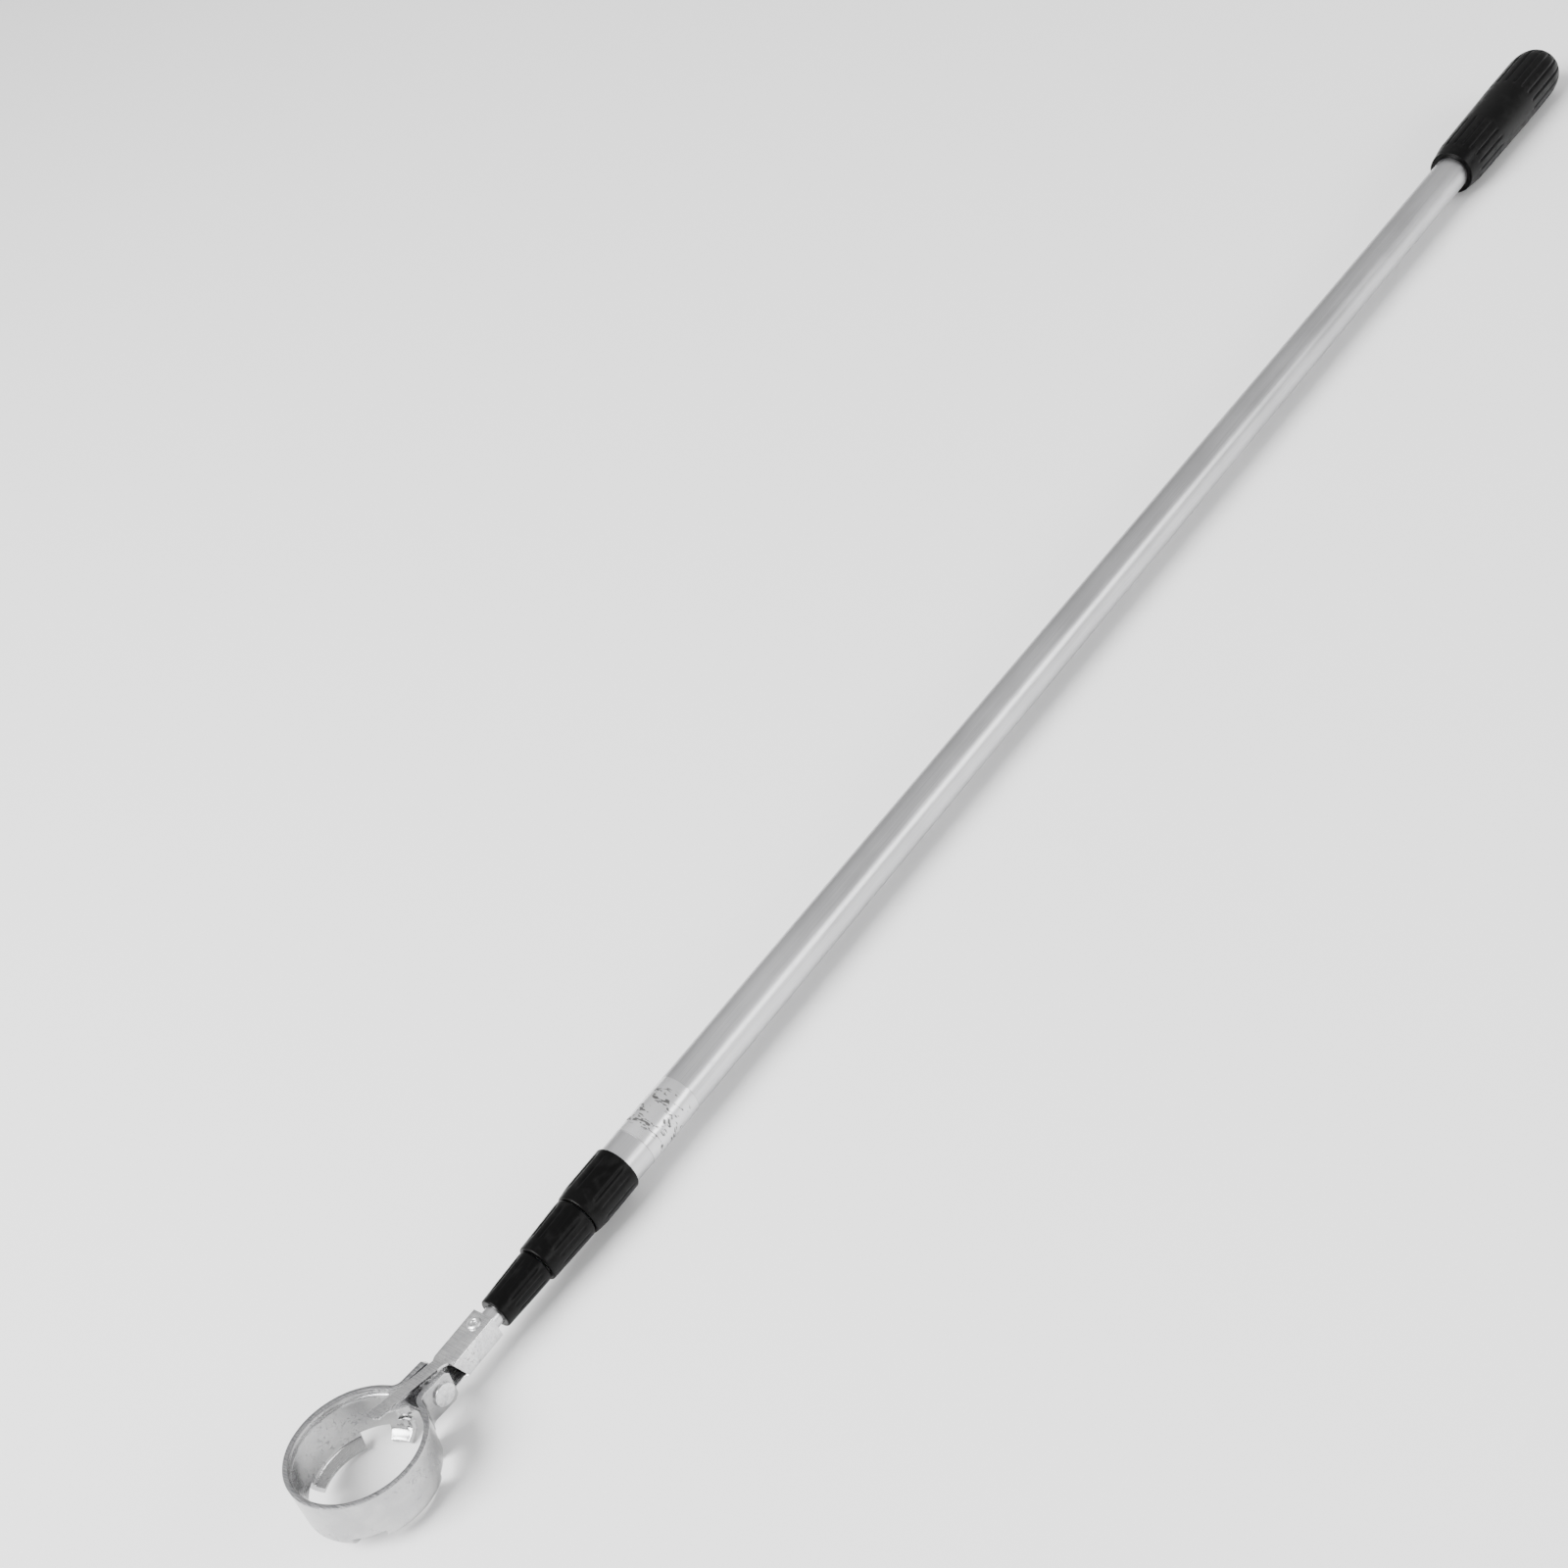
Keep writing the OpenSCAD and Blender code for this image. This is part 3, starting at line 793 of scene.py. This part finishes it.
plan = np.concatenate([ear_plan, curve_plan])
ears = len(plan)
x[high_part, :ears] = plan[:, 0]
y[high_part, :ears] = -plan[:, 1]
x[high_part, -ears:] = plan[::-1, 0]
y[high_part, -ears:] = plan[::-1, 1]
ear_middle = (RIM_Z + EAR_LOW) / 2
ear_half = (RIM_Z - EAR_LOW) / 2
cut = np.clip(x - (EAR_END - EAR_CUT), 0, None) * (kind == PLATE)
z = np.where(high_part[:, None], ear_middle + (z - ear_middle) * (1 - cut / ear_half), z)
cell_z = z_row[1:]
cell_kind = np.minimum(kind[:-1], kind[1:])
cell_turn = (turn[0, :-1] + turn[0, 1:]) / 2
notch_turn = np.mod(cell_turn, math.pi / 2) - math.pi / 4
below_ear = (cell_z < EAR_LOW - NUDGE)[:, None]
below_notch = (cell_z < NOTCH_TOP - NUDGE)[:, None]
slit_row = (np.arange(len(cell_z)) == len(upper) - 1)[:, None]
in_notch = np.abs(notch_turn) < NOTCH_HALF / (CUP_R - CUP_CONE)
keep = ~(below_ear & (cell_kind == PLATE)) & ~(slit_row & (cell_kind != RING))
keep &= ~(below_notch & in_notch)
cup = skin("ball_cup", from_cup(np.stack([x, y, z], axis=-1)), keep=keep, closed=False)


def sawn_rim(finish):
    """The front face and its broken edges, where the saw left close slanting strokes."""
    tilted = finish.mapped(turn=(0, -CUP_TILT, 0), centre=tuple(pivot * MM))
    height = Value(finish, finish.node("SeparateXYZ", None, {0: tilted}).outputs[2])
    sawn = height.rise((RIM_Z - 0.45) * MM, (RIM_Z - 0.35) * MM)
    tooth = finish.noise(0.45, 2, stretch=(1.0, 0.12, 0.3), turn=(0, 0, 0.6)).rise(0.42, 0.6)
    return sawn, tooth


def wall_group(piece):
    """Wall weights: the thin rim wall on the ears and from the front face down to the
    ledge, and the full wall everywhere else."""
    place = np.empty(len(piece.data.vertices) * 3)
    piece.data.vertices.foreach_get("co", place)
    local = (place.reshape(-1, 3) / MM - pivot) @ lean
    thin = (local[:, 2] > RIM_Z - LEDGE_DEPTH) | (local[:, 0] > hollow_x - CUP_REACH - EAR_CURVE)
    group = piece.vertex_groups.new(name="wall")
    group.add(np.flatnonzero(thin).tolist(), RIM_WALL / CUP_WALL, "REPLACE")
    group.add(np.flatnonzero(~thin).tolist(), 1.0, "REPLACE")
    return group.name


thicken(cup, CUP_WALL, CUP_EDGE, wall_group(cup))
# Painted shade: the cup is the same plate as the arm, and tone 0.62 darkens its whole colour to
# stand for the shade it shows.
shaded_cup_plate = plated_steel("plated_cup", cut_face=sawn_rim, tone=0.62)
fit(cup, "cup", "cup", shaded_cup_plate)

# ---------------------------------------------------------------------------------------
# Pivot rivet. Solid steel rivet through both ears and the finger. It has a broad flat
# head on the near side, and a hammered tail on the far side.

HEAD_R = 4.7
HEAD_H = 1.3
SHANK_R = 2.5
TAIL_R = 4.0
TAIL_DRAFT = 0.3
PIVOT_SIDES = 72
low, high = box_mm("pivot_rivet")
near = low[1]
far = high[1]
pin = turned("cup_pivot", rounded([
    (near, 0, 0), (near, HEAD_R, 0.5), (near + HEAD_H, HEAD_R, 0.1), (near + HEAD_H, SHANK_R, 0.1),
    (far - HEAD_H, SHANK_R, 0.1), (far - HEAD_H, TAIL_R, 0.1),
    (far, TAIL_R - TAIL_DRAFT, 0.6), (far, 0, 0),
]), sides=PIVOT_SIDES, line=(pivot[0], 0, pivot[2]), along="Y")
fit(pin, "pivot_rivet", "cup", bright_rivet)

# ---------------------------------------------------------------------------------------
# Studio. A plain pale paper floor, a long soft light low on the near side, a stronger one
# high up past the cup's end, and a pale surround that is brighter overhead.

FLOOR_HALF = 9000
FLOOR_DROP = 0.2
PAPER = (0.92, 0.92, 0.92)
SIDE_STRENGTH = 0.40
OVERHEAD_STRENGTH = 0.95
corner = np.array([-FLOOR_HALF, FLOOR_HALF], float)
grid_x, grid_y = np.meshgrid(corner, corner)
flat_z = np.full_like(grid_x, -FLOOR_DROP)
floor = skin("studio_floor", np.stack([grid_x, grid_y, flat_z], axis=-1), closed=False)
floor.data.materials.append(Finish("studio_paper").paint(PAPER, roughness=0.9))


def soft_light(name, place, aim, width, height, watts):
    """Rectangular area light that shines from one place to another."""
    lamp = bpy.data.lights.new(name, "AREA")
    lamp.shape = "RECTANGLE"
    lamp.size = width
    lamp.size_y = height
    lamp.energy = watts
    holder = bpy.data.objects.new(name, lamp)
    bpy.context.scene.collection.objects.link(holder)
    back_axis = np.array(place, float) - np.array(aim, float)
    back_axis /= np.linalg.norm(back_axis)
    side_axis = np.cross((0, 0, 1), back_axis)
    side_axis /= np.linalg.norm(side_axis)
    up_axis = np.cross(back_axis, side_axis)
    turn = np.stack([side_axis, up_axis, back_axis], axis=1)
    holder.matrix_world = Matrix.Translation(place) @ Matrix(turn.tolist()).to_4x4()


soft_light("strip", (1.0, -2.6, 1.15), (-0.1, 0, 0), width=2.8, height=0.8, watts=55)
soft_light("fill", (-2.4, 0.6, 2.4), (0, 0, 0), width=2.2, height=2.2, watts=290)
world = bpy.data.worlds.new("surround")
world.use_nodes = True
sky = world.node_tree
height = sky.nodes.new("ShaderNodeSeparateXYZ")
sky.links.new(sky.nodes.new("ShaderNodeTexCoord").outputs["Generated"], height.inputs[0])
shade = sky.nodes.new("ShaderNodeMapRange")
shade.inputs["From Min"].default_value = 0.05
shade.inputs["From Max"].default_value = 0.95
shade.inputs["To Min"].default_value = SIDE_STRENGTH
shade.inputs["To Max"].default_value = OVERHEAD_STRENGTH
sky.links.new(height.outputs[2], shade.inputs["Value"])
sky.nodes["Background"].inputs["Color"].default_value = (1, 1, 1, 1)
sky.links.new(shade.outputs["Result"], sky.nodes["Background"].inputs["Strength"])
bpy.context.scene.world = world

# ---------------------------------------------------------------------------------------
# Camera. It looks down along the closed retriever from above the cup's end, rolled so
# that the pole climbs to the upper right.

CAMERA_PLACE = (-0.6776, -0.6004, 0.6470)
CAMERA_TURN = math.radians(38.6)
CAMERA_DOWN = math.radians(36.2)
CAMERA_ROLL = math.radians(23.1)
LENS = 53.9
SENSOR = 36
ahead = np.array([
    math.sin(CAMERA_TURN) * math.cos(CAMERA_DOWN),
    math.cos(CAMERA_TURN) * math.cos(CAMERA_DOWN), -math.sin(CAMERA_DOWN),
])
right = np.array([math.cos(CAMERA_TURN), -math.sin(CAMERA_TURN), 0])
above = np.cross(right, ahead)
rolled_right = right * math.cos(CAMERA_ROLL) - above * math.sin(CAMERA_ROLL)
rolled_up = above * math.cos(CAMERA_ROLL) + right * math.sin(CAMERA_ROLL)
view = bpy.data.cameras.new("view")
view.type = "PERSP"
view.lens = LENS
view.sensor_width = SENSOR
camera = bpy.data.objects.new("view", view)
bpy.context.scene.collection.objects.link(camera)
axes = np.stack([rolled_right, rolled_up, -ahead], axis=1)
camera.matrix_world = Matrix.Translation(CAMERA_PLACE) @ Matrix(axes.tolist()).to_4x4()
bpy.context.scene.camera = camera
